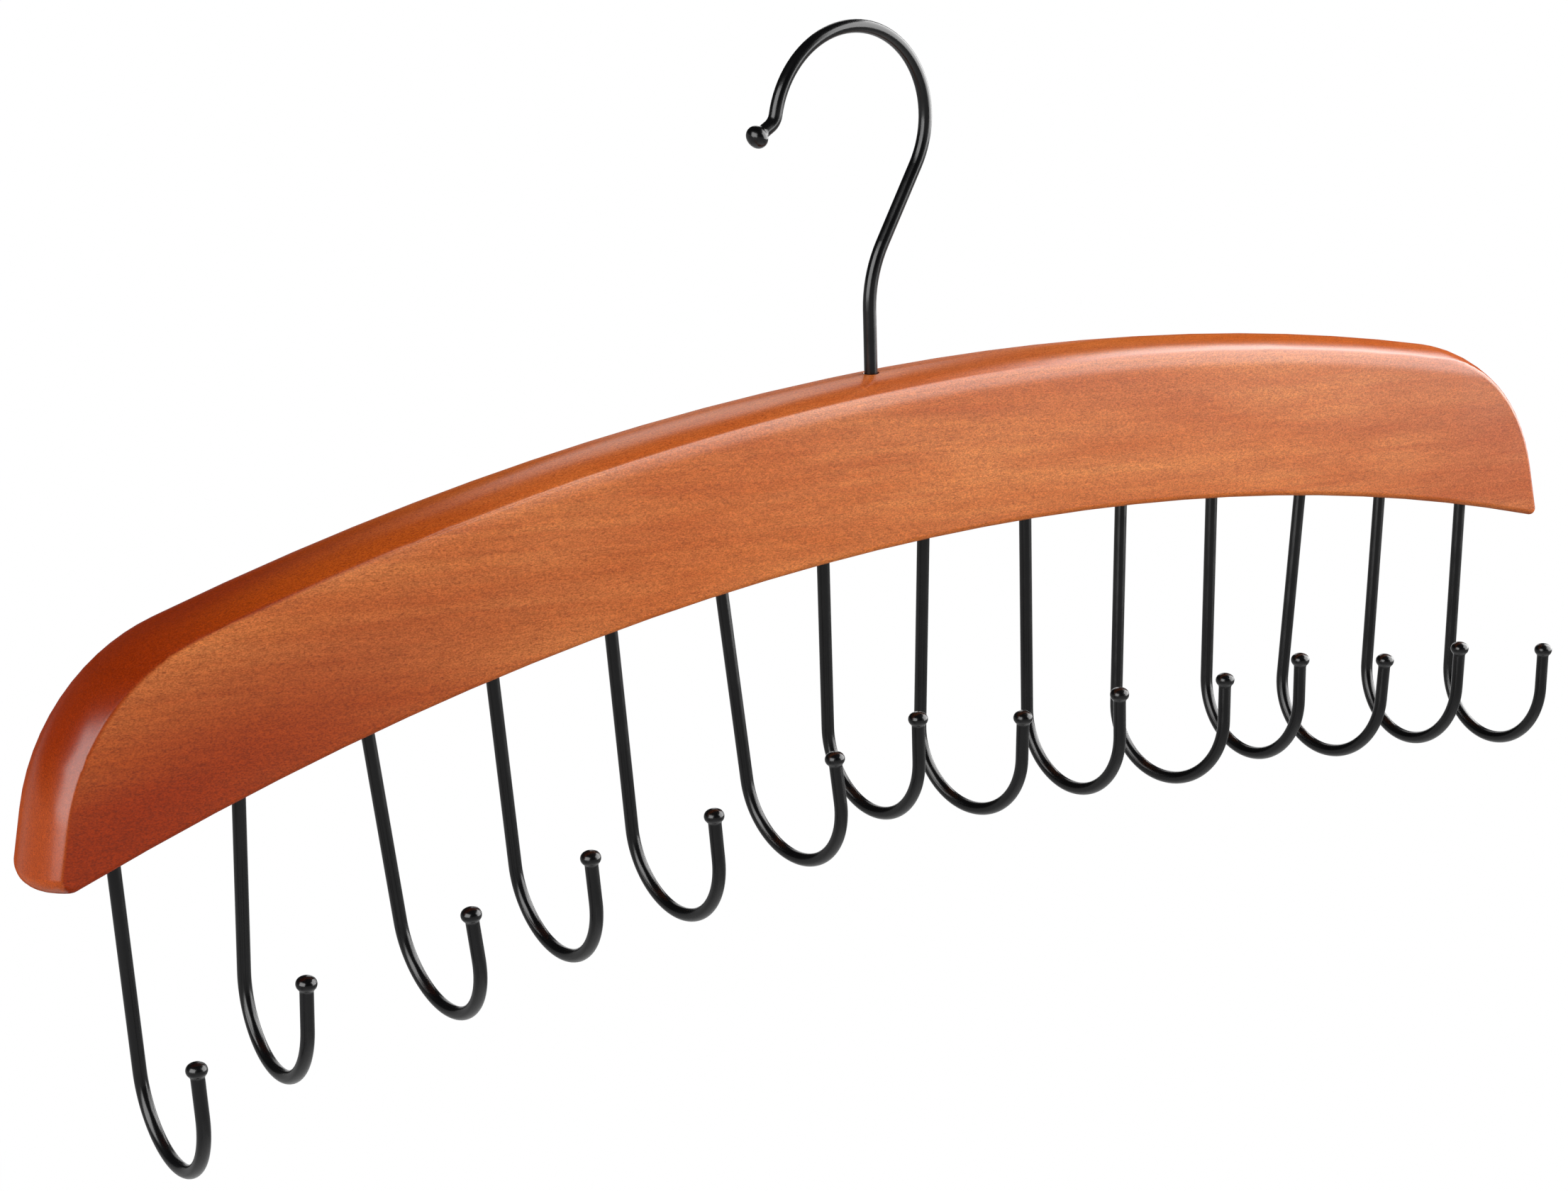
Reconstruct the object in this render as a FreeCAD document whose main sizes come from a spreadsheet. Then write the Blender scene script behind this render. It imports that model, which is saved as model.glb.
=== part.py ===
import FreeCAD, Part
import os
from math import acos, atan2, cos, pi, radians, sin, sqrt

import Sketcher
from FreeCAD import Placement, Rotation, Vector

# Tie hanger: an arched wooden bar on a swivelling wire hook, with a row of wire tie hooks below.
# Millimetres. +X runs along the bar, the tie hooks open towards -Y, and +Z is up. The origin is on
# the swivel axis, at the inside of the loop, where the wardrobe rod bears.

SIZES = {
    # Wooden bar
    "bar_depth": 38.0,
    "bar_thickness": 19.6,
    "top_radius": 788.0,
    "underside_radius": 735.0,
    "shoulder_span": 339.0,
    "shoulder_radius": 44.6,
    "end_lean": 12.0,
    "crown_radius": 20.0,
    "left_tip_round": 3.0,
    "right_tip_round": 1.6,
    "edge_round": 1.4,
    # Swivel hook
    "hook_wire": 3.0,
    "neck_straight": 14.2,
    "neck_bend": 27.6,
    "swan_straight": 19.0,
    "loop_radius": 21.3,
    "loop_offset": 4.1,
    "loop_end": 12.0,
    "tail_bend": 3.5,
    "tail_angle": 28.0,
    "tail_length": 3.9,
    "hook_ball": 5.2,
    "hook_ball_edge": 1.9,
    "hook_ball_dome": 0.2,
    "hook_ball_neck": 1.0,
    "swivel_gap": 0.08,
    "bore_mouth": 0.35,
    # Washer and lock nut that hold the hook, in a pocket under the bar
    "washer_width": 7.0,
    "washer_thickness": 0.5,
    "washer_gap": 0.15,
    "nut_flats": 5.5,
    "nut_height": 4.0,
    "nut_play": 0.05,
    "nut_thread_gap": 0.02,
    "wire_past_nut": 1.0,
    "pocket_room": 1.0,
    "pocket_recess": 3.4,
    # Tie hooks
    "tie_wire": 2.9,
    "tie_inset": 18.1,
    "tie_seat": 18.0,
    "tie_shank": 45.6,
    "tie_reach": 31.6,
    "tie_tip": 9.8,
    "tie_ball": 4.4,
    "tie_ball_edge": 1.5,
    "tie_ball_dome": 0.2,
    "tie_ball_neck": 0.9,
    "tie_glue_gap": 0.05,
    "tie_hole_end": 1.0,
}

# How each tie hook was set by hand, from the bar's -X end: its place along the bar off an even
# pitch (mm), its turn about its own shank (degrees, the tip towards +X), its lean (degrees, the
# foot towards -X), its nod (degrees, the foot towards the back) and how much further than the
# rest it stands out of its hole (mm).
TIE_HOOKS = [
    (-1.5, -7, -2, -2, 1.5),
    (-2.0, -8, 0, 4, -3.5),
    (-1.5, -3, -6, -2, 0.0),
    (0.0, -3, -4, -1, 0.0),
    (1.0, -1, -3, -2, 2.5),
    (1.0, 2, -4, -4, 0.5),
    (0.0, 0, -1, 1, -4.0),
    (-0.5, 6, 0, 3, 2.0),
    (0.5, 0, 1, -1, 2.5),
    (1.0, 9, 5, -3, 4.0),
    (1.0, -1, 4, -2, 0.5),
    (1.5, 3, 7, 0, 1.0),
    (0.0, -3, 6, -1, -2.0),
    (0.0, -2, 5, -1, -3.0),
]

# Room that a cut or a blank has past the surface it works on.
OVERRUN = 3.0
# How close to a surface an edge that lies in it is.
NEAR = 0.01

# Heights and places that several pieces share, as formulas on the sheet.
LOOP_DROP = "sqrt((Sizes.loop_radius - Sizes.hook_wire / 2)^2 - Sizes.loop_offset^2)"
SWAN_REACH = "(Sizes.swan_straight^2 + (Sizes.loop_radius + Sizes.neck_bend)^2)"
SWAN_RISE = "sqrt(%s - (Sizes.loop_offset + Sizes.neck_bend)^2)" % SWAN_REACH
NECK_TOP = "(-%s - %s)" % (LOOP_DROP, SWAN_RISE)
BAR_TOP = "(%s - Sizes.neck_straight)" % NECK_TOP
BAR_BASE = "(%s - Sizes.bar_depth)" % BAR_TOP
TAIL_X = "((Sizes.loop_radius + Sizes.tail_bend) * cos(Sizes.loop_end) + Sizes.loop_offset)"
TAIL_Z = "((Sizes.loop_radius + Sizes.tail_bend) * sin(Sizes.loop_end) - %s)" % LOOP_DROP
BALL_X = "Sizes.tail_bend * sin(Sizes.tail_angle) - Sizes.tail_length * cos(Sizes.tail_angle) - " + TAIL_X
BALL_Z = TAIL_Z + " - Sizes.tail_bend * cos(Sizes.tail_angle) - Sizes.tail_length * sin(Sizes.tail_angle)"
TOP_CENTRE = "(Sizes.bar_depth - Sizes.top_radius)"
SHOULDER_X = "(Sizes.shoulder_span / 2)"
SHOULDER_R = "(Sizes.top_radius - Sizes.shoulder_radius)"
SHOULDER_Z = "(sqrt(%s^2 - %s^2) + %s)" % (SHOULDER_R, SHOULDER_X, TOP_CENTRE)
SHOULDER_ANGLE = "asin(%s / %s)" % (SHOULDER_X, SHOULDER_R)
END_ANGLE = "(90 - Sizes.end_lean) * 1 deg"
TIE_END = "(%s + Sizes.shoulder_radius * cos(Sizes.end_lean) - Sizes.tie_inset)" % SHOULDER_X
BORE = "(Sizes.hook_wire / 2 + Sizes.swivel_gap)"
POCKET = "(Sizes.washer_width / 2 + Sizes.pocket_room)"
WIRE_END = "(%s + Sizes.pocket_recess)" % BAR_BASE
NUT_BASE = "(%s + Sizes.wire_past_nut)" % WIRE_END
WASHER_BASE = "(%s + Sizes.nut_height + Sizes.nut_play)" % NUT_BASE
POCKET_TOP = "(%s + Sizes.washer_thickness)" % WASHER_BASE

doc = FreeCAD.newDocument("tie_hanger")


def make_sheet():
    """Puts every size, and the set of every tie hook, in the sheet under its own name."""
    sheet = doc.addObject("Spreadsheet::Sheet", "Sizes")
    rows = dict(SIZES)
    for number, hook in enumerate(TIE_HOOKS, 1):
        for name, amount in zip(("shift", "turn", "lean", "nod", "drop"), hook):
            rows["%s_%02d" % (name, number)] = amount
    for row, (name, value) in enumerate(rows.items(), 1):
        sheet.set("A%d" % row, name)
        sheet.set("B%d" % row, str(value))
        sheet.setAlias("B%d" % row, name)
    doc.recompute()
    return sheet


sheet = make_sheet()


def value(formula):
    """The number that a formula on the sheet gives."""
    result = sheet.evalExpression(formula)
    return float(getattr(result, "Value", result))


def bind(thing, **formulas):
    """Ties properties to formulas: AttachmentOffset__Base__z stands for AttachmentOffset.Base.z."""
    for name, formula in formulas.items():
        thing.setExpression(name.replace("__", "."), formula)


def new_body(label):
    body = doc.addObject("PartDesign::Body", label)
    body.Label = label
    return body


def origin_plane(body, role):
    return [part for part in body.Origin.OriginFeatures if part.Role == role][0]


def new_sketch(body, name, role):
    """A sketch on one of the body's own origin planes."""
    sketch = body.newObject("Sketcher::SketchObject", name)
    sketch.AttachmentSupport = (origin_plane(body, role), [""])
    sketch.MapMode = "FlatFace"
    return sketch


def add_line(sketch, start, end):
    sketch.addGeometry(Part.LineSegment(Vector(*start), Vector(*end)))


def add_arc(sketch, centre, radius, first, last):
    """An arc that runs anticlockwise from the first angle to the last, in radians."""
    circle = Part.Circle(Vector(*centre), Vector(0, 0, 1), radius)
    sketch.addGeometry(Part.ArcOfCircle(circle, first, last))


def relate(sketch, *rules):
    for rule in rules:
        sketch.addConstraint(Sketcher.Constraint(*rule))


def dimension(sketch, formula, *rule):
    """A dimension of a sketch, tied to a formula on the sheet."""
    start = radians(value(formula)) if rule[0] == "Angle" else value(formula)
    index = sketch.addConstraint(Sketcher.Constraint(*rule, start))
    sketch.setExpression("Constraints[%d]" % index, formula)


def add_circle(sketch, formula):
    """A circle about the sketch's origin."""
    circle = Part.Circle(Vector(0, 0, 0), Vector(0, 0, 1), value(formula))
    sketch.addGeometry(circle)
    relate(sketch, ("Coincident", 0, 3, -1, 1))
    dimension(sketch, formula, "Radius", 0)


def add_polygon(sketch, corners):
    """Closed straight outline; each corner is a pair of formulas, or None on an axis."""
    points = [[0.0 if part is None else value(part) for part in corner] for corner in corners]
    count = len(points)
    for index in range(count):
        add_line(sketch, points[index], points[(index + 1) % count])
    for index, corner in enumerate(corners):
        relate(sketch, ("Coincident", index, 2, (index + 1) % count, 1))
        for kind, axis, part in (("DistanceX", -2, corner[0]), ("DistanceY", -1, corner[1])):
            if part is None:
                relate(sketch, ("PointOnObject", index, 1, axis))
            else:
                dimension(sketch, part, kind, -1, 1, index, 1)


def revolve(body, kind, name, sketch, axis, **formulas):
    turned = body.newObject("PartDesign::" + kind, name)
    turned.Profile = sketch
    turned.ReferenceAxis = (sketch, [axis])
    turned.Refine = True
    bind(turned, **formulas)
    return turned


def pipe(body, name, sketch, path):
    swept = body.newObject("PartDesign::AdditivePipe", name)
    swept.Profile = sketch
    swept.Spine = path
    return swept


def crowned_section(sketch, foot, crest):
    """Cross-section of the bar: flat sides and a crowned top, at heights from the turning axis."""
    half = value("Sizes.bar_thickness / 2")
    crown = value("Sizes.crown_radius")
    low = value(foot)
    middle = value(crest) - crown
    edge = middle + sqrt(crown**2 - half**2)
    slope = atan2(edge - middle, half)
    add_line(sketch, (-half, low), (half, low))
    add_line(sketch, (half, low), (half, edge))
    add_arc(sketch, (0, middle), crown, slope, pi - slope)
    add_line(sketch, (-half, edge), (-half, low))
    relate(
        sketch,
        ("Coincident", 0, 2, 1, 1),
        ("Coincident", 1, 2, 2, 1),
        ("Coincident", 2, 2, 3, 1),
        ("Coincident", 3, 2, 0, 1),
        ("Vertical", 1),
        ("Vertical", 3),
        ("PointOnObject", 2, 3, -2),
        ("Symmetric", 0, 1, 0, 2, -2),
    )
    dimension(sketch, "Sizes.bar_thickness", "DistanceX", 0, 1, 0, 2)
    dimension(sketch, foot, "DistanceY", -1, 1, 0, 1)
    dimension(sketch, "Sizes.crown_radius", "Radius", 2)
    dimension(sketch, "%s - Sizes.crown_radius" % crest, "DistanceY", -1, 1, 2, 3)


def shoulder_section(body, name, angle, foot):
    """The bar's cross-section on a plane through the middle of a shoulder, at an angle from upright."""
    sketch = new_sketch(body, name, "YZ_Plane")
    sketch.AttachmentOffset = Placement(Vector(), Rotation(Vector(1, 0, 0), value(angle)))
    bind(
        sketch,
        AttachmentOffset__Base__y=SHOULDER_Z,
        AttachmentOffset__Base__z=SHOULDER_X,
        AttachmentOffset__Rotation__Angle=angle,
    )
    crowned_section(sketch, foot, "Sizes.shoulder_radius")
    return sketch


def tie_place(number):
    """Formulas for where a tie hook leaves the underside, in the bar's own frame."""
    share = 2 * (number - 1) / (len(TIE_HOOKS) - 1) - 1
    place = "(%.9f * %s + Sizes.shift_%02d)" % (share, TIE_END, number)
    return place, "(sqrt(Sizes.underside_radius^2 - %s^2) - Sizes.underside_radius)" % place


def tie_rotation(number):
    """How a tie hook and its hole stand: turned about the shank, then tipped back, then sideways."""
    turn = Rotation(Vector(0, 0, 1), value("Sizes.turn_%02d" % number))
    nod = Rotation(Vector(1, 0, 0), value("Sizes.nod_%02d" % number))
    lean = Rotation(Vector(0, 1, 0), value("Sizes.lean_%02d" % number))
    return lean * nod * turn


def tie_seat(number):
    """Formula for the length of shank inside the bar."""
    return "(Sizes.tie_seat - Sizes.drop_%02d)" % number


def edges_where(feature, test):
    return ["Edge%d" % index for index, edge in enumerate(feature.Shape.Edges, 1) if test(edge)]


def at_tip(edge):
    """Whether an edge lies in the underside and crosses it from front to back."""
    radius = value("Sizes.underside_radius")
    points = edge.discretize(5)
    across = abs(points[-1].y - points[0].y)
    under = all(abs(Vector(point.x, 0, point.z + radius).Length - radius) < NEAR for point in points)
    return under and across > value("Sizes.bar_thickness") - NEAR


def at_left_tip(edge):
    return at_tip(edge) and edge.CenterOfMass.x < 0


def at_right_tip(edge):
    return at_tip(edge) and edge.CenterOfMass.x > 0


def on_face(edge):
    """Whether an edge lies in the front face or the back face."""
    half = value("Sizes.bar_thickness / 2")
    return all(abs(abs(point.y) - half) < NEAR for point in edge.discretize(5))


def add_fillet(body, name, base, edges, radius):
    rounded = body.newObject("PartDesign::Fillet", name)
    rounded.Base = (base, edges)
    bind(rounded, Radius=radius)
    return rounded


def make_bar():
    """The arched bar: flat front and back, crowned top and ends, holes for every hook."""
    body = new_body("wooden_bar")
    bind(body, Placement__Base__z=BAR_BASE)

    # The long stretch is turned about the middle of the top's arc.
    section = new_sketch(body, "ArchSection", "YZ_Plane")
    bind(section, AttachmentOffset__Base__y=TOP_CENTRE)
    crowned_section(section, "Sizes.top_radius - Sizes.bar_depth - %s" % OVERRUN, "Sizes.top_radius")
    arch = revolve(body, "Revolution", "Arch", section, "H_Axis", Angle="2 * " + SHOULDER_ANGLE)
    arch.Midplane = True

    # Each shoulder is turned about its own middle, and its end runs on straight past the underside,
    # as thick as the whole shoulder and half as much again towards the arch.
    section = shoulder_section(body, "ShoulderSection", SHOULDER_ANGLE, "0.0")
    sweep = "%s - %s" % (END_ANGLE, SHOULDER_ANGLE)
    shoulder = revolve(body, "Revolution", "Shoulder", section, "H_Axis", Angle=sweep)
    section = shoulder_section(body, "EndSection", END_ANGLE, "-Sizes.shoulder_radius / 2")
    end = body.newObject("PartDesign::Pad", "End")
    end.Profile = section
    end.Refine = True
    bind(end, Length="Sizes.shoulder_radius")
    both = body.newObject("PartDesign::Mirrored", "BothShoulders")
    both.Originals = [shoulder, end]
    both.MirrorPlane = (origin_plane(body, "YZ_Plane"), [""])
    both.Refine = True
    body.Tip = both

    # The underside is one arc from tip to tip.
    under = new_sketch(body, "UndersideSection", "YZ_Plane")
    bind(under, AttachmentOffset__Base__y="-Sizes.underside_radius")
    side = "(Sizes.bar_thickness / 2 + %s)" % OVERRUN
    low = "Sizes.underside_radius - 2 * Sizes.shoulder_radius"
    add_polygon(
        under,
        [
            ("-" + side, low),
            (side, low),
            (side, "Sizes.underside_radius"),
            ("-" + side, "Sizes.underside_radius"),
        ],
    )
    sweep = "2 * asin((%s + 1.5 * Sizes.shoulder_radius) / Sizes.underside_radius)" % SHOULDER_X
    trim = revolve(body, "Groove", "Underside", under, "H_Axis", Angle=sweep)
    trim.Midplane = True
    doc.recompute()

    # The left tip is sanded rounder than the right one, then the whole rim of both faces is eased.
    left = add_fillet(body, "LeftTipRound", trim, edges_where(trim, at_left_tip), "Sizes.left_tip_round")
    doc.recompute()
    right = add_fillet(body, "RightTipRound", left, edges_where(left, at_right_tip), "Sizes.right_tip_round")
    doc.recompute()
    add_fillet(body, "EdgeRound", right, edges_where(right, on_face), "Sizes.edge_round")
    doc.recompute()

    # Bore for the hook, with a softened mouth, and the pocket for its washer and nut.
    bore = new_sketch(body, "BoreSection", "XZ_Plane")
    floor = "%s - %s" % (POCKET_TOP, BAR_BASE)
    add_polygon(
        bore,
        [
            (None, "-%s" % OVERRUN),
            (POCKET, "-%s" % OVERRUN),
            (POCKET, floor),
            (BORE, floor),
            (BORE, "Sizes.bar_depth - Sizes.bore_mouth"),
            (BORE + " + Sizes.bore_mouth", "Sizes.bar_depth"),
            (BORE + " + Sizes.bore_mouth", "Sizes.bar_depth + %s" % OVERRUN),
            (None, "Sizes.bar_depth + %s" % OVERRUN),
        ],
    )
    revolve(body, "Groove", "Bore", bore, "V_Axis")

    # A blind hole for each tie hook, in line with its shank.
    for number in range(1, len(TIE_HOOKS) + 1):
        place, height = tie_place(number)
        circle = new_sketch(body, "TieHoleCircle%02d" % number, "XY_Plane")
        circle.AttachmentOffset = Placement(Vector(), tie_rotation(number))
        bind(circle, AttachmentOffset__Base__x=place, AttachmentOffset__Base__z=height)
        add_circle(circle, "Sizes.tie_wire / 2 + Sizes.tie_glue_gap")
        hole = body.newObject("PartDesign::Pocket", "TieHole%02d" % number)
        hole.Profile = circle
        hole.Midplane = True
        bind(hole, Length="2 * (%s + Sizes.tie_hole_end)" % tie_seat(number))
    return body


def neck_start(kind):
    """Formula for the distance from a ball's widest ring back to where its neck leaves the wire."""
    rise = "(Sizes.%s_ball_edge + Sizes.%s_ball_neck)" % (kind, kind)
    offset = "((Sizes.%s_wire - Sizes.%s_ball) / 2 + %s)" % (kind, kind, rise)
    return "sqrt(%s^2 - %s^2)" % (rise, offset)


def add_knob(body, kind, name, sketch):
    """Headed end of a wire, about the sketch's origin: a soft neck, a round edge and a domed top."""
    wire = value("Sizes.%s_wire / 2" % kind)
    edge = value("Sizes.%s_ball_edge" % kind)
    neck = value("Sizes.%s_ball_neck" % kind)
    top = value("Sizes.%s_ball_edge + Sizes.%s_ball_dome" % (kind, kind))
    middle = value("Sizes.%s_ball / 2" % kind) - edge
    start = value(neck_start(kind))
    meet = atan2(-start, wire + neck - middle)
    crest = pi / 2 - 2 * atan2(top - edge, middle)
    dome = edge + middle / cos(crest)
    add_line(sketch, (0, -start), (wire, -start))
    add_arc(sketch, (wire + neck, -start), neck, pi + meet, pi)
    add_arc(sketch, (middle, 0), edge, meet, crest)
    add_arc(sketch, (0, top - dome), dome, crest, pi / 2)
    add_line(sketch, (0, top), (0, -start))
    relate(
        sketch,
        ("Coincident", 0, 2, 1, 2),
        ("Tangent", 1, 1, 2, 1),
        ("Tangent", 2, 2, 3, 1),
        ("Coincident", 3, 2, 4, 1),
        ("Coincident", 4, 2, 0, 1),
        ("Horizontal", 0),
        ("Horizontal", 0, 2, 1, 3),
        ("PointOnObject", 2, 3, -1),
        ("PointOnObject", 3, 3, -2),
        ("PointOnObject", 4, 1, -2),
        ("PointOnObject", 4, 2, -2),
    )
    dimension(sketch, "Sizes.%s_ball_edge" % kind, "Radius", 2)
    dimension(sketch, "Sizes.%s_ball / 2 - Sizes.%s_ball_edge" % (kind, kind), "DistanceX", -1, 1, 2, 3)
    dimension(sketch, "Sizes.%s_ball_neck" % kind, "Radius", 1)
    dimension(sketch, "Sizes.%s_wire / 2" % kind, "DistanceX", -1, 1, 0, 2)
    dimension(sketch, "Sizes.%s_ball_edge + Sizes.%s_ball_dome" % (kind, kind), "DistanceY", -1, 1, 4, 1)
    return revolve(body, "Revolution", name, sketch, "V_Axis")


def make_swivel_hook():
    """Bent wire hook: straight neck, swan bend, loop, and a turned-out tail with a ball end."""
    body = new_body("swivel_hook")
    bend_r = value("Sizes.neck_bend")
    loop_r = value("Sizes.loop_radius")
    tail_r = value("Sizes.tail_bend")
    foot = Vector(0, value(WIRE_END))
    neck = Vector(0, value(NECK_TOP))
    bend = neck + Vector(bend_r, 0)
    loop = Vector(-value("Sizes.loop_offset"), -value(LOOP_DROP))

    # The straight of the swan bend touches the neck's bend and the loop.
    apart = bend - loop
    meet = atan2(apart.y, apart.x) + acos((bend_r + loop_r) / apart.Length)
    ray = Vector(cos(meet), sin(meet))
    bend_top = bend - ray * bend_r
    loop_start = loop + ray * loop_r

    # The tail bends out from the end of the loop and runs straight into the ball.
    tilt = radians(value("Sizes.tail_angle"))
    loop_stop = pi - radians(value("Sizes.loop_end"))
    tail = Vector(-value(TAIL_X), value(TAIL_Z))
    tail_top = tail + Vector(sin(tilt), -cos(tilt)) * tail_r
    straight = "Sizes.tail_length - " + neck_start("hook")
    wire_stop = tail_top - Vector(cos(tilt), sin(tilt)) * value(straight)

    path = new_sketch(body, "HookPath", "XZ_Plane")
    add_line(path, foot, neck)
    add_arc(path, bend, bend_r, meet + pi, pi)
    add_line(path, bend_top, loop_start)
    add_arc(path, loop, loop_r, meet, loop_stop)
    add_arc(path, tail, tail_r, tilt - pi / 2, loop_stop - pi)
    add_line(path, wire_stop, tail_top)
    relate(
        path,
        ("PointOnObject", 0, 1, -2),
        ("Vertical", 0),
        ("Tangent", 0, 2, 1, 2),
        ("Tangent", 1, 1, 2, 1),
        ("Tangent", 2, 2, 3, 1),
        ("Tangent", 3, 2, 4, 2),
        ("Tangent", 4, 1, 5, 2),
    )
    dimension(path, "-" + WIRE_END, "DistanceY", 0, 1, -1, 1)
    dimension(path, "-" + NECK_TOP, "DistanceY", 0, 2, -1, 1)
    dimension(path, "Sizes.neck_bend", "Radius", 1)
    dimension(path, "Sizes.loop_radius", "Radius", 3)
    dimension(path, "Sizes.loop_offset", "DistanceX", 3, 3, -1, 1)
    dimension(path, LOOP_DROP, "DistanceY", 3, 3, -1, 1)
    dimension(path, "Sizes.loop_radius * sin(Sizes.loop_end)", "DistanceY", 3, 3, 3, 2)
    dimension(path, "Sizes.tail_bend", "Radius", 4)
    dimension(path, "Sizes.tail_angle * 1 deg", "Angle", 5)
    dimension(path, straight, "Distance", 5)

    round_wire = new_sketch(body, "HookWireCircle", "XY_Plane")
    bind(round_wire, AttachmentOffset__Base__z=WIRE_END)
    add_circle(round_wire, "Sizes.hook_wire / 2")
    pipe(body, "HookWire", round_wire, path)

    knob = new_sketch(body, "HookBallSection", "XZ_Plane")
    knob.AttachmentOffset = Placement(Vector(), Rotation(Vector(0, 0, 1), 90 + value("Sizes.tail_angle")))
    bind(
        knob,
        AttachmentOffset__Base__x=BALL_X,
        AttachmentOffset__Base__y=BALL_Z,
        AttachmentOffset__Rotation__Angle="(90 + Sizes.tail_angle) * 1 deg",
    )
    add_knob(body, "hook", "HookBall", knob)
    return body


def make_tie_hook(number):
    """One tie hook: a straight shank, a half-round bend and a short tip with a ball end."""
    body = new_body("tie_hook_%02d" % number)
    place, height = tie_place(number)
    body.Placement = Placement(Vector(), tie_rotation(number))
    bind(body, Placement__Base__x=place, Placement__Base__z="%s + %s" % (BAR_BASE, height))

    top = tie_seat(number)
    foot = "(Sizes.tie_shank + Sizes.drop_%02d)" % number
    tip = "(Sizes.tie_tip - %s)" % neck_start("tie")
    path = new_sketch(body, "TiePath%02d" % number, "YZ_Plane")
    reach = value("Sizes.tie_reach")
    low = -value(foot)
    add_line(path, (0, value(top)), (0, low))
    add_arc(path, (-reach / 2, low), reach / 2, pi, 2 * pi)
    add_line(path, (-reach, low), (-reach, low + value(tip)))
    relate(
        path,
        ("PointOnObject", 0, 1, -2),
        ("Vertical", 0),
        ("Tangent", 0, 2, 1, 2),
        ("Tangent", 1, 1, 2, 1),
        ("Vertical", 2),
    )
    dimension(path, top, "DistanceY", -1, 1, 0, 1)
    dimension(path, foot, "DistanceY", 0, 2, -1, 1)
    dimension(path, "Sizes.tie_reach / 2", "Radius", 1)
    dimension(path, tip, "DistanceY", 2, 1, 2, 2)

    round_wire = new_sketch(body, "TieWireCircle%02d" % number, "XY_Plane")
    bind(round_wire, AttachmentOffset__Base__z=top)
    add_circle(round_wire, "Sizes.tie_wire / 2")
    pipe(body, "TieWire%02d" % number, round_wire, path)

    knob = new_sketch(body, "TieBallSection%02d" % number, "YZ_Plane")
    bind(
        knob,
        AttachmentOffset__Base__x="-Sizes.tie_reach",
        AttachmentOffset__Base__y="Sizes.tie_tip - %s" % foot,
    )
    add_knob(body, "tie", "TieBall%02d" % number, knob)
    return body


def make_ring(label, blank, height, bore, base):
    """A blank with a round hole through it; the sizes are formulas on the sheet."""
    bind(blank, Height=height)
    hole = doc.addObject("Part::Cylinder", label + "_hole")
    bind(hole, Height=height, Radius=bore)
    ring = doc.addObject("Part::Cut", label)
    ring.Label = label
    ring.Base = blank
    ring.Tool = hole
    bind(ring, Placement__Base__z=base)
    return ring


def make_washer():
    """Flat steel washer, seated on the floor of the pocket."""
    disc = doc.addObject("Part::Cylinder", "washer_disc")
    bind(disc, Radius="Sizes.washer_width / 2")
    bore = "Sizes.hook_wire / 2 + Sizes.washer_gap"
    return make_ring("hook_washer", disc, "Sizes.washer_thickness", bore, WASHER_BASE)


def make_lock_nut():
    """Hexagon lock nut on the hook's threaded end; it carries the bar through the washer."""
    hexagon = doc.addObject("Part::Prism", "nut_hexagon")
    hexagon.Polygon = 6
    bind(hexagon, Circumradius="Sizes.nut_flats / sqrt(3)")
    bore = "Sizes.hook_wire / 2 + Sizes.nut_thread_gap"
    return make_ring("hook_lock_nut", hexagon, "Sizes.nut_height", bore, NUT_BASE)


def write_parts(pieces):
    """Checks the whole document, then writes one file for each piece."""
    doc.recompute()
    for thing in doc.Objects:
        if "Invalid" in thing.State or "Error" in thing.State:
            raise RuntimeError("%s failed: %s" % (thing.Name, thing.getStatusString()))
    for piece in pieces:
        if piece.Shape.isNull() or not piece.Shape.isValid():
            raise RuntimeError("%s has no sound shape" % piece.Label)
        if len(piece.Shape.Solids) != 1:
            raise RuntimeError("%s is not one solid" % piece.Label)
    os.makedirs("parts", exist_ok=True)
    for piece in pieces:
        piece.Shape.exportStep("parts/%s.step" % piece.Label)
        print("%s %.1f mm3" % (piece.Label, piece.Shape.Volume))


pieces = [make_bar(), make_swivel_hook(), make_washer(), make_lock_nut()]
for number in range(1, len(TIE_HOOKS) + 1):
    pieces.append(make_tie_hook(number))
write_parts(pieces)
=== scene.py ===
from math import cos, radians, sin

import bpy
from mathutils import Matrix, Vector


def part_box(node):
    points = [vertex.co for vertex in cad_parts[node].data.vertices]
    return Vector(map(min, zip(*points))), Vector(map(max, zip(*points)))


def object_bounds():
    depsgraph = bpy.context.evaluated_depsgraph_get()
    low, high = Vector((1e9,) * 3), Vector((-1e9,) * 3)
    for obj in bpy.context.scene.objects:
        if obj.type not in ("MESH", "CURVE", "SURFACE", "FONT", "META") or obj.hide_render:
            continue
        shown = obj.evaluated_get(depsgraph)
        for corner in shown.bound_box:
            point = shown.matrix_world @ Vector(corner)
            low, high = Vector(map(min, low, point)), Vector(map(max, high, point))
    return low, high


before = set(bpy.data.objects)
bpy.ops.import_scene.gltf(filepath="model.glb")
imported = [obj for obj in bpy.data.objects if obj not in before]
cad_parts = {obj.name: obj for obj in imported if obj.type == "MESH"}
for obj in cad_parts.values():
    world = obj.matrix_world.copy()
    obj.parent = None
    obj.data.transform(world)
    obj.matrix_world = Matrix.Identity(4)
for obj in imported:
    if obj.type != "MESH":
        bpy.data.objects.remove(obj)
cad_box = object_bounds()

scene = bpy.context.scene

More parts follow.
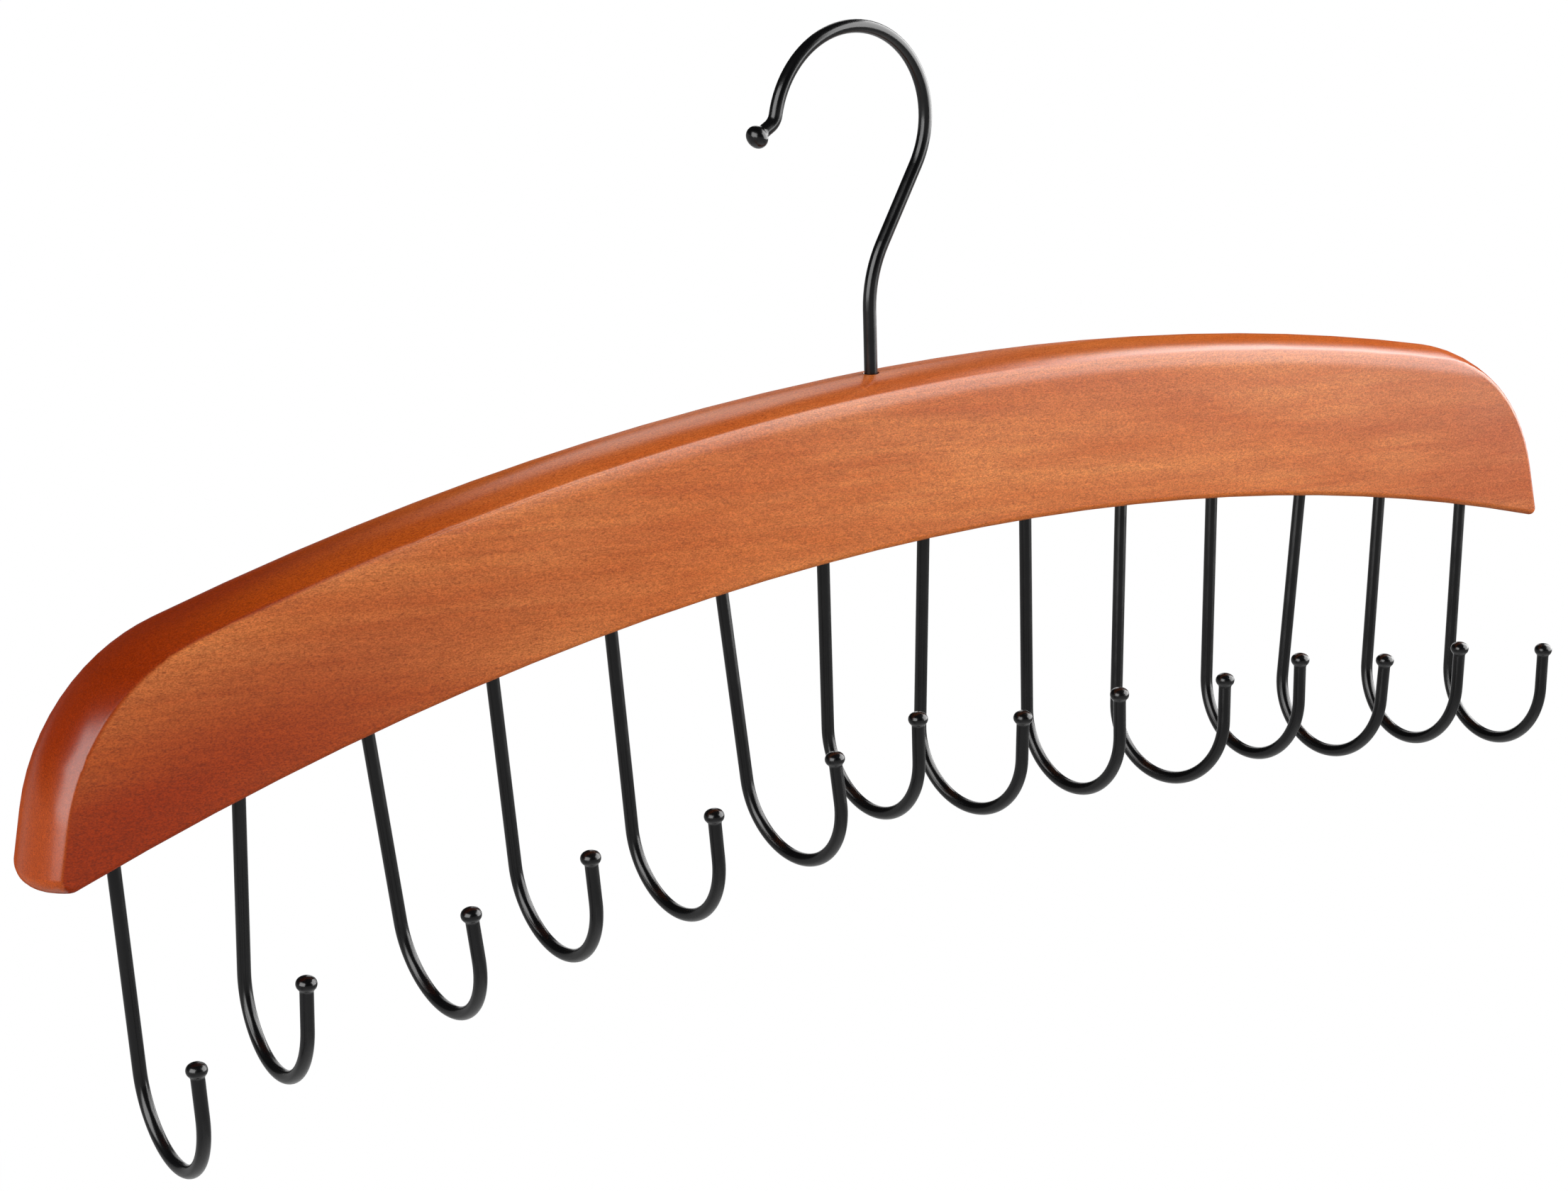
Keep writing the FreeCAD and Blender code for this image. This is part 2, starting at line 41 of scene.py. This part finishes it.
# Wooden bar: one arched blank of fine-grained hardwood, sawn, shaped and sanded, stained a cherry
# red-brown and sprayed with gloss lacquer. The pocket under its middle is drilled afterwards and
# shows bare wood.
MM = 0.001
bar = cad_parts["wooden_bar"]
bar_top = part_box("wooden_bar")[1].z
bar_depth = 38 * MM
top_radius = 788 * MM
underside_radius = 735 * MM
pocket_radius = 4.5 * MM
pocket_slack = 0.05 * MM
bare_top = bar_top - 20 * MM
grain_slope = radians(6)


def linear(hex_colour):
    """An sRGB hex colour as linear RGBA."""
    parts = [int(hex_colour[i : i + 2], 16) / 255 for i in (1, 3, 5)]
    return [p / 12.92 if p <= 0.04045 else ((p + 0.055) / 1.055) ** 2.4 for p in parts] + [1.0]


def add_node(tree, kind, settings=None, feeds=None, out=None):
    """Adds a node, sets it up, feeds its inputs with values or outputs, and returns its output."""
    node = tree.nodes.new("ShaderNode" + kind)
    for name, setting in (settings or {}).items():
        setattr(node, name, setting)
    live = [socket for socket in node.inputs if socket.enabled]
    for key, feed in (feeds or {}).items():
        socket = live[key] if isinstance(key, int) else next(s for s in live if s.name == key)
        if isinstance(feed, bpy.types.NodeSocket):
            tree.links.new(feed, socket)
        else:
            socket.default_value = feed
    if out:
        return node.outputs[out]
    return next((socket for socket in node.outputs if socket.enabled), None)


# Stained hardwood under lacquer: soft tone patches and bands along the grain, fine fibres and short
# dark pores, a deeper red where the heartwood runs and where end grain drinks the stain.
wood = bpy.data.materials.new("cherry_stained_hardwood_gloss_lacquer")
wood.use_nodes = True
tree = wood.node_tree
tree.nodes.clear()
place = add_node(tree, "TexCoord", out="Object")
facing = add_node(tree, "TexCoord", out="Normal")
station, depth, level = [add_node(tree, "SeparateXYZ", {}, {0: place}, out=axis) for axis in "XYZ"]
along, upward = [add_node(tree, "SeparateXYZ", {}, {0: facing}, out=axis) for axis in "XZ"]
along = add_node(tree, "Math", {"operation": "ABSOLUTE"}, {0: along})

# The figure's length along the grain and width across it in mm, its detail and its wobble. Pores
# and specks are drawn a few times as coarse as in the real wood, so that they show.
figure = {}
for name, length, width, detail, wobble in (
    ("patches", 75, 13, 3.0, 0.4),
    ("bands", 60, 2.2, 2.0, 0.6),
    ("fibres", 5, 0.6, 2.0, 0.0),
    ("pores", 1.0, 0.27, 1.0, 0.0),
    ("specks", 0.42, 0.22, 1.0, 0.0),
):
    stretch = add_node(
        tree,
        "Mapping",
        {"vector_type": "TEXTURE"},
        {
            "Vector": place,
            "Rotation": (0, grain_slope, 0),
            "Scale": (length * MM, width * MM, width * MM),
        },
    )
    figure[name] = add_node(
        tree, "TexNoise", {}, {"Vector": stretch, "Scale": 1.0, "Detail": detail, "Distortion": wobble}
    )

# Distances from the centres of the underside's arc and of the crown's arc.
reach = {}
for name, centre in (
    ("underside", bar_top - bar_depth - underside_radius),
    ("crown", bar_top - top_radius),
):
    arm = add_node(tree, "VectorMath", {"operation": "SUBTRACT"}, {0: place, 1: (0, 0, centre)})
    arm = add_node(tree, "VectorMath", {"operation": "MULTIPLY"}, {0: arm, 1: (1, 0, 1)})
    reach[name] = add_node(tree, "VectorMath", {"operation": "LENGTH"}, {0: arm}, out="Value")
heart_wave = 14 * MM
heart_low = underside_radius + 13 * MM
heart_high = underside_radius + 52 * MM
wavy_reach = add_node(
    tree,
    "Math",
    {"operation": "MULTIPLY_ADD"},
    {0: figure["patches"], 1: heart_wave, 2: reach["underside"]},
)

# How far each tone shows: what it follows, from where to where, its share at either end and the
# ramp between. Heartwood runs out of the blank at the lower left, and a trace of it at the right
# end. The stain lies deeper on the crown, deepest over the left heartwood and on the ends' cut
# fibres. Along the front of the crown at the left the tone is warmer and lighter.
share = {}
for name, guide, low, high, start, end, ramp in (
    ("patch", figure["patches"], 0.32, 0.68, 0.0, 1.0, "LINEAR"),
    ("band", figure["bands"], 0.35, 0.7, 0.0, 0.35, "LINEAR"),
    ("pore", figure["pores"], 0.5, 0.74, 0.0, 0.45, "SMOOTHSTEP"),
    ("gain", figure["fibres"], 0.3, 0.7, 0.915, 1.085, "LINEAR"),
    ("speck_gain", figure["specks"], 0.3, 0.7, 0.73, 1.27, "LINEAR"),
    ("heart", wavy_reach, heart_low, heart_high, 1.0, 0.0, "SMOOTHSTEP"),
    ("heart_to", station, -200 * MM, -40 * MM, 1.0, 0.0, "SMOOTHSTEP"),
    ("right_heart", station, 110 * MM, 205 * MM, 0.0, 0.4, "SMOOTHSTEP"),
    ("crown", upward, 0.2, 0.8, 0.0, 0.5, "SMOOTHSTEP"),
    ("crown_heart", station, -178 * MM, -88 * MM, 0.92, 0.0, "SMOOTHSTEP"),
    ("crown_heart_up", upward, -0.05, 0.6, 0.0, 1.0, "SMOOTHSTEP"),
    ("end_grain", along, 0.25, 0.6, 0.0, 0.7, "SMOOTHSTEP"),
    # A warmer, lighter tone along the front half of the crown at the left, and its limits.
    ("warm_front", depth, -6.5 * MM, 0.5 * MM, 0.6, 0.0, "SMOOTHSTEP"),
    ("warm_front_up", upward, 0.5, 0.8, 0.0, 1.0, "SMOOTHSTEP"),
    ("warm_front_from", station, -195 * MM, -150 * MM, 0.0, 1.0, "SMOOTHSTEP"),
    ("warm_front_to", station, -135 * MM, -95 * MM, 1.0, 0.0, "SMOOTHSTEP"),
):
    share[name] = add_node(
        tree,
        "MapRange",
        {"interpolation_type": ramp},
        {"Value": guide, "From Min": low, "From Max": high, "To Min": start, "To Max": end},
    )
share["right_end_grain"] = add_node(tree, "Math", {"operation": "GREATER_THAN"}, {0: station, 1: 0.0})
for name, limit in (
    ("gain", "speck_gain"),
    ("heart", "heart_to"),
    ("crown_heart", "crown_heart_up"),
    ("right_end_grain", "end_grain"),
    ("warm_front", "warm_front_up"),
    ("warm_front", "warm_front_from"),
    ("warm_front", "warm_front_to"),
):
    share[name] = add_node(tree, "Math", {"operation": "MULTIPLY"}, {0: share[name], 1: share[limit]})
stain = linear("#CE7C41")
for name, tone in (
    ("patch", "#BC6229"),
    ("band", "#A2461A"),
    ("crown", "#A0420A"),
    ("right_heart", "#8A2C10"),
    ("heart", "#8D2C05"),
    ("end_grain", "#AC4C10"),
    ("right_end_grain", "#7A2C08"),
    ("crown_heart", "#7A2000"),
    ("warm_front", "#A0450A"),
    ("pore", "#742A14"),
):
    stain = add_node(
        tree, "Mix", {"data_type": "RGBA"}, {"Factor": share[name], "A": stain, "B": linear(tone)}
    )
stain = add_node(tree, "VectorMath", {"operation": "SCALE"}, {"Vector": stain, "Scale": share["gain"]})

# Bare wood inside the drilled pocket and the bore above it.
across = add_node(tree, "VectorMath", {"operation": "MULTIPLY"}, {0: place, 1: (1, 1, 0)})
radius = add_node(tree, "VectorMath", {"operation": "LENGTH"}, {0: across}, out="Value")
drilled = add_node(tree, "Math", {"operation": "LESS_THAN"}, {0: radius, 1: pocket_radius + pocket_slack})
below_top = add_node(tree, "Math", {"operation": "LESS_THAN"}, {0: level, 1: bare_top})
bare = add_node(tree, "Math", {"operation": "MULTIPLY"}, {0: drilled, 1: below_top})
bare_wood = add_node(
    tree, "VectorMath", {"operation": "SCALE"}, {"Vector": linear("#B98A58")[:3], "Scale": share["gain"]}
)
colour = add_node(tree, "Mix", {"data_type": "RGBA"}, {"Factor": bare, "A": stain, "B": bare_wood})

# Sanding has eased both faces over in the last few millimetres below the crown, and fibres and
# pores still show faintly in the surface.
easing_start = top_radius - 7.65 * MM
easing_end = top_radius - 3.15 * MM
easing_power = 4.0
easing_depth = 0.42 * MM
grain_depth = 0.03 * MM
easing = add_node(
    tree, "MapRange", {}, {"Value": reach["crown"], "From Min": easing_start, "From Max": easing_end}
)
easing = add_node(tree, "Math", {"operation": "POWER"}, {0: easing, 1: easing_power})
eased = add_node(
    tree, "Bump", {"invert": True}, {"Strength": 1.0, "Distance": easing_depth, "Height": easing}
)
grain = add_node(
    tree, "Math", {"operation": "MULTIPLY_ADD"}, {0: figure["pores"], 1: -1.0, 2: figure["fibres"]}
)
relief = add_node(
    tree, "Bump", {}, {"Strength": 0.25, "Distance": grain_depth, "Height": grain, "Normal": eased}
)

# Gloss lacquer: a clear coat that mirrors the lights softly. The fine orange peel of a sprayed film
# takes the mirror out of it at glancing angles.
shine = add_node(
    tree,
    "MapRange",
    {},
    {"Value": figure["fibres"], "From Min": 0.3, "From Max": 0.7, "To Min": 0.42, "To Max": 0.52},
)
glancing = add_node(tree, "LayerWeight", {}, {"Blend": 0.5}, out="Facing")
coat = add_node(
    tree,
    "MapRange",
    {"name": "coat_by_angle"},
    {"Value": glancing, "From Min": 0.62, "From Max": 0.78, "To Min": 0.92, "To Max": 0.15},
)
lacquered = add_node(
    tree,
    "BsdfPrincipled",
    {"name": "lacquered_wood"},
    {
        "Base Color": colour,
        "Roughness": shine,
        "Specular IOR Level": 0.0,
        "Normal": relief,
        "Coat Weight": coat,
        "Coat Roughness": 0.25,
        "Coat IOR": 1.5,
        "Coat Normal": eased,
    },
)
add_node(tree, "OutputMaterial", {}, {"Surface": lacquered})
bar.data.materials[0] = wood

# The flat front and back are rubbed down after spraying, and the underside gets only a thin dry
# pass, so the same wood has less shine there. Its faces are told apart by their normals.
for name, weight, roughness in (
    ("cherry_stained_hardwood_rubbed_lacquer", 0.8, 0.25),
    ("cherry_stained_hardwood_thin_lacquer", 0.3, 0.45),
):
    duller = wood.copy()
    duller.name = name
    duller.node_tree.nodes["coat_by_angle"].inputs["To Min"].default_value = weight
    duller.node_tree.nodes["lacquered_wood"].inputs["Coat Roughness"].default_value = roughness
    bar.data.materials.append(duller)
flat_face = 0.995
facing_down = -0.1
facing_end = 0.35
for polygon in bar.data.polygons:
    polygon.use_smooth = True
    if abs(polygon.normal.y) > flat_face:
        polygon.material_index = 1
    elif polygon.normal.z < facing_down and abs(polygon.normal.x) < facing_end:
        polygon.material_index = 2

# Rounds run smoothly into the faces beside them, and only the true edges stay crisp.
seams = bar.modifiers.new("closed_seams", "WELD")
seams.merge_threshold = 0.002 * MM
crisp = bar.modifiers.new("crisp_edges", "EDGE_SPLIT")
crisp.split_angle = radians(35)
crisp.use_edge_sharp = False
smooth = bar.modifiers.new("smooth_rounds", "WEIGHTED_NORMAL")
smooth.mode = "FACE_AREA"

# Swivel hook: hard-drawn steel wire bent cold in one piece, its tail headed to a ball, coated in
# gloss black enamel. It hangs free in the bar's bore.
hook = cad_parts["swivel_hook"]
ripple_size = 1.1 * MM
ripple_depth = 0.02 * MM
cloud_size = 5 * MM

# Dipped enamel: deep black with a soft gloss that clouds a little, and a faint orange peel.
enamel = bpy.data.materials.new("gloss_black_enamel_on_steel_wire")
enamel.use_nodes = True
tree = enamel.node_tree
tree.nodes.clear()
place = add_node(tree, "TexCoord", out="Object")
ripple = add_node(
    tree, "Mapping", {"vector_type": "TEXTURE"}, {"Vector": place, "Scale": (ripple_size,) * 3}
)
cloud = add_node(
    tree, "Mapping", {"vector_type": "TEXTURE"}, {"Vector": place, "Scale": (cloud_size,) * 3}
)
ripples = add_node(tree, "TexNoise", {}, {"Vector": ripple, "Scale": 1.0, "Detail": 1.0})
clouds = add_node(tree, "TexNoise", {}, {"Vector": cloud, "Scale": 1.0, "Detail": 2.0})
black = add_node(
    tree,
    "Mix",
    {"data_type": "RGBA"},
    {"Factor": clouds, "A": linear("#060607"), "B": linear("#0B0B0C")},
)
shine = add_node(
    tree,
    "MapRange",
    {},
    {"Value": clouds, "From Min": 0.3, "From Max": 0.7, "To Min": 0.18, "To Max": 0.25},
)
peel = add_node(tree, "Bump", {}, {"Strength": 0.1, "Distance": ripple_depth, "Height": ripples})
coated = add_node(
    tree, "BsdfPrincipled", {}, {"Base Color": black, "Roughness": shine, "IOR": 1.5, "Normal": peel}
)
add_node(tree, "OutputMaterial", {}, {"Surface": coated})
hook.data.materials[0] = enamel

# Washer and lock nut: zinc-plated pressed steel, hidden in the pocket under the bar, where they
# carry the bar on the hook's threaded end.
spangle_size = 0.6 * MM

# Bright zinc plating: pale grey metal, dulled in spots by a fine spangle.
zinc = bpy.data.materials.new("bright_zinc_plated_steel")
zinc.use_nodes = True
tree = zinc.node_tree
tree.nodes.clear()
place = add_node(tree, "TexCoord", out="Object")
spangle = add_node(
    tree, "Mapping", {"vector_type": "TEXTURE"}, {"Vector": place, "Scale": (spangle_size,) * 3}
)
spangles = add_node(tree, "TexNoise", {}, {"Vector": spangle, "Scale": 1.0, "Detail": 2.0})
plating = add_node(
    tree,
    "Mix",
    {"data_type": "RGBA"},
    {"Factor": spangles, "A": linear("#B4B7BA"), "B": linear("#D2D3D2")},
)
dulling = add_node(
    tree,
    "MapRange",
    {},
    {"Value": spangles, "From Min": 0.3, "From Max": 0.7, "To Min": 0.28, "To Max": 0.42},
)
plated = add_node(
    tree, "BsdfPrincipled", {}, {"Base Color": plating, "Metallic": 1.0, "Roughness": dulling}
)
add_node(tree, "OutputMaterial", {}, {"Surface": plated})
for name in ("hook_washer", "hook_lock_nut"):
    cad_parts[name].data.materials[0] = zinc

# Tie hooks: steel wire a touch thinner than the swivel hook, cut and bent one by one, each tip headed
# to a ball, enamelled in the same black and glued into blind holes along the underside.
for name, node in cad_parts.items():
    if name.startswith("tie_hook"):
        node.data.materials[0] = enamel

# Floor: a wide sheet of paper, as far below the part as a wardrobe floor. It keeps the part's
# shadow near by, runs out to plain white in a strip that widens behind the part, and falls to pale
# grey beside it. From below it is left out of sight.
floor_drop = 1.2
floor_half = 60.0
view_bearing = radians(38.2)
backward = (sin(view_bearing), cos(view_bearing), 0)
sideways = (cos(view_bearing), -sin(view_bearing), 0)
strip_half = 0.22
strip_widening = 0.21
corners = [
    (-floor_half, -floor_half, 0),
    (floor_half, -floor_half, 0),
    (floor_half, floor_half, 0),
    (-floor_half, floor_half, 0),
]
floor_mesh = bpy.data.meshes.new("floor")
floor_mesh.from_pydata(corners, [], [(0, 1, 2, 3)])
floor = bpy.data.objects.new("floor", floor_mesh)
floor.location.z = cad_box[0].z - floor_drop
scene.collection.objects.link(floor)

# Matt paper: an even white without any shine.
paper = bpy.data.materials.new("matt_white_paper")
paper.use_nodes = True
tree = paper.node_tree
tree.nodes.clear()
sheet = add_node(tree, "BsdfDiffuse", {}, {"Color": linear("#E6E6E6")})
white = add_node(tree, "Emission", {}, {"Color": linear("#FFFFFF"), "Strength": 1.0})
seen = add_node(tree, "LightPath", out="Is Camera Ray")
mirrored = add_node(tree, "LightPath", out="Is Glossy Ray")
passed = add_node(tree, "LightPath", out="Is Transmission Ray")
either = add_node(tree, "Math", {"operation": "MAXIMUM"}, {0: mirrored, 1: passed})
spot = add_node(tree, "TexCoord", out="Object")
away = add_node(tree, "VectorMath", {"operation": "LENGTH"}, {0: spot}, out="Value")
behind = add_node(tree, "VectorMath", {"operation": "DOT_PRODUCT"}, {0: spot, 1: backward}, out="Value")
aside = add_node(tree, "VectorMath", {"operation": "DOT_PRODUCT"}, {0: spot, 1: sideways}, out="Value")
aside = add_node(tree, "Math", {"operation": "ABSOLUTE"}, {0: aside})
strip = add_node(
    tree, "Math", {"operation": "MULTIPLY_ADD"}, {0: behind, 1: strip_widening, 2: strip_half}
)
outside = add_node(tree, "Math", {"operation": "SUBTRACT"}, {0: aside, 1: strip})

# The share of white in what gloss mirrors and in what the camera sees: what it follows, from where
# to where in metres, and the share at either end.
white_share = {}
for name, guide, near, far, start, end in (
    ("mirrored", outside, 0.0, 0.6, 1.0, 0.35),
    ("mirrored_near", away, 1.2, 2.4, 0.25, 1.0),
    ("mirrored_far", away, 13.0, 22.0, 1.0, 0.5),
    ("seen", outside, 0.0, 5.0, 1.0, 0.7),
    ("seen_near", away, 1.2, 2.4, 0.75, 1.0),
):
    white_share[name] = add_node(
        tree,
        "MapRange",
        {"interpolation_type": "SMOOTHSTEP"},
        {"Value": guide, "From Min": near, "From Max": far, "To Min": start, "To Max": end},
    )
for name, limit in (("mirrored", "mirrored_near"), ("mirrored", "mirrored_far"), ("seen", "seen_near")):
    white_share[name] = add_node(
        tree, "Math", {"operation": "MULTIPLY"}, {0: white_share[name], 1: white_share[limit]}
    )
lift = add_node(tree, "Math", {"operation": "MULTIPLY"}, {0: seen, 1: white_share["seen"]})
lift = add_node(
    tree, "Math", {"operation": "MULTIPLY_ADD"}, {0: either, 1: white_share["mirrored"], 2: lift}
)
lit = add_node(tree, "MixShader", {}, {0: lift, 1: sheet, 2: white})
under = add_node(tree, "NewGeometry", out="Backfacing")
clear = add_node(tree, "BsdfTransparent", {}, {"Color": linear("#FFFFFF")})
one_sided = add_node(tree, "MixShader", {}, {0: under, 1: lit, 2: clear})
add_node(tree, "OutputMaterial", {}, {"Surface": one_sided})
floor_mesh.materials.append(paper)

# Studio: a dim room whose walls are paler low down, a large softbox to the right, a smaller one to
# the left, a pale panel behind, and a fill behind that lights the back and leaves no shine. The
# camera sees the room in the tone of the floor's far edge, and gloss does so close to the floor.
# Heights on the walls are given by the rise of the line of sight.
middle = (cad_box[0] + cad_box[1]) / 2
low_wall_tone = 0.2
high_wall_tone = 0.025
high_wall_rise = 0.14
room_tone = 0.71
room_tone_rise = 0.02
world = bpy.data.worlds.new("studio_room")
world.use_nodes = True
tree = world.node_tree
tree.nodes.clear()
look = add_node(tree, "TexCoord", out="Generated")
look = add_node(tree, "SeparateXYZ", {}, {0: look}, out="Z")
wall = add_node(
    tree,
    "MapRange",
    {},
    {
        "Value": look,
        "From Min": 0.0,
        "From Max": high_wall_rise,
        "To Min": low_wall_tone,
        "To Max": high_wall_tone,
    },
)
low = add_node(
    tree,
    "MapRange",
    {},
    {"Value": look, "From Min": 0.0, "From Max": room_tone_rise, "To Min": 1.0, "To Max": 0.0},
)
seen = add_node(tree, "LightPath", out="Is Camera Ray")
passed = add_node(tree, "LightPath", out="Is Transmission Ray")
mirrored = add_node(tree, "LightPath", out="Is Glossy Ray")
mirrored = add_node(tree, "Math", {"operation": "MULTIPLY"}, {0: mirrored, 1: low})
pale = add_node(tree, "Math", {"operation": "MAXIMUM"}, {0: seen, 1: passed})
pale = add_node(tree, "Math", {"operation": "MAXIMUM"}, {0: pale, 1: mirrored})
wall = add_node(tree, "Mix", {"data_type": "FLOAT"}, {"Factor": pale, "A": wall, "B": room_tone})
room = add_node(tree, "Background", {}, {"Color": linear("#FFFFFF"), "Strength": wall})
add_node(tree, "OutputWorld", {}, {"Surface": room})
scene.world = world

# Each light's bearing from the back towards +X and its elevation in degrees, its distance, width
# and height in metres, its brightness, where 1 is plain white, and whether gloss mirrors it. Four
# watts to the square metre make a light plain white.
white_power = 4
for name, bearing, elevation, distance, width, height, brightness, in_gloss in (
    ("right_softbox", 109, 19, 1.2, 2.0, 1.3, 4.7, True),
    ("left_softbox", -100, 19, 1.2, 1.2, 0.9, 4.2, True),
    ("back_panel", 37, 19, 1.5, 0.42, 1.27, 1.0, True),
    ("back_fill", 0, 5, 1.5, 1.2, 0.9, 1.8, False),
):
    lamp = bpy.data.lights.new(name, "AREA")
    lamp.shape = "RECTANGLE"
    lamp.size = width
    lamp.size_y = height
    lamp.energy = white_power * brightness * width * height
    box = bpy.data.objects.new(name, lamp)
    box.visible_glossy = in_gloss
    turn = Matrix.Rotation(radians(-bearing), 3, "Z") @ Matrix.Rotation(radians(elevation), 3, "X")
    aim = turn @ Vector((0, 1, 0))
    box.location = middle + aim * distance
    box.rotation_euler = aim.to_track_quat("Z", "Y").to_euler()
    scene.collection.objects.link(box)

# Camera: a long lens, to the left of the part's middle and a little above it, tilted down and
# rolled slightly. It sees as far as the floor's edge.
camera_place = (-0.5403, -0.6531, 0.1086)
camera_tilt = radians(90 - 15.486)
camera_roll = radians(-1.624)
camera_data = bpy.data.cameras.new("camera")
camera_data.sensor_width = 36.0
camera_data.lens = 89.4
camera_data.clip_end = 200.0
camera = bpy.data.objects.new("camera", camera_data)
camera.location = camera_place
turn = Matrix.Rotation(-view_bearing, 3, "Z") @ Matrix.Rotation(camera_tilt, 3, "X")
turn = turn @ Matrix.Rotation(camera_roll, 3, "Z")
camera.rotation_euler = turn.to_euler()
scene.collection.objects.link(camera)
scene.camera = camera
scene.view_settings.view_transform = "Standard"
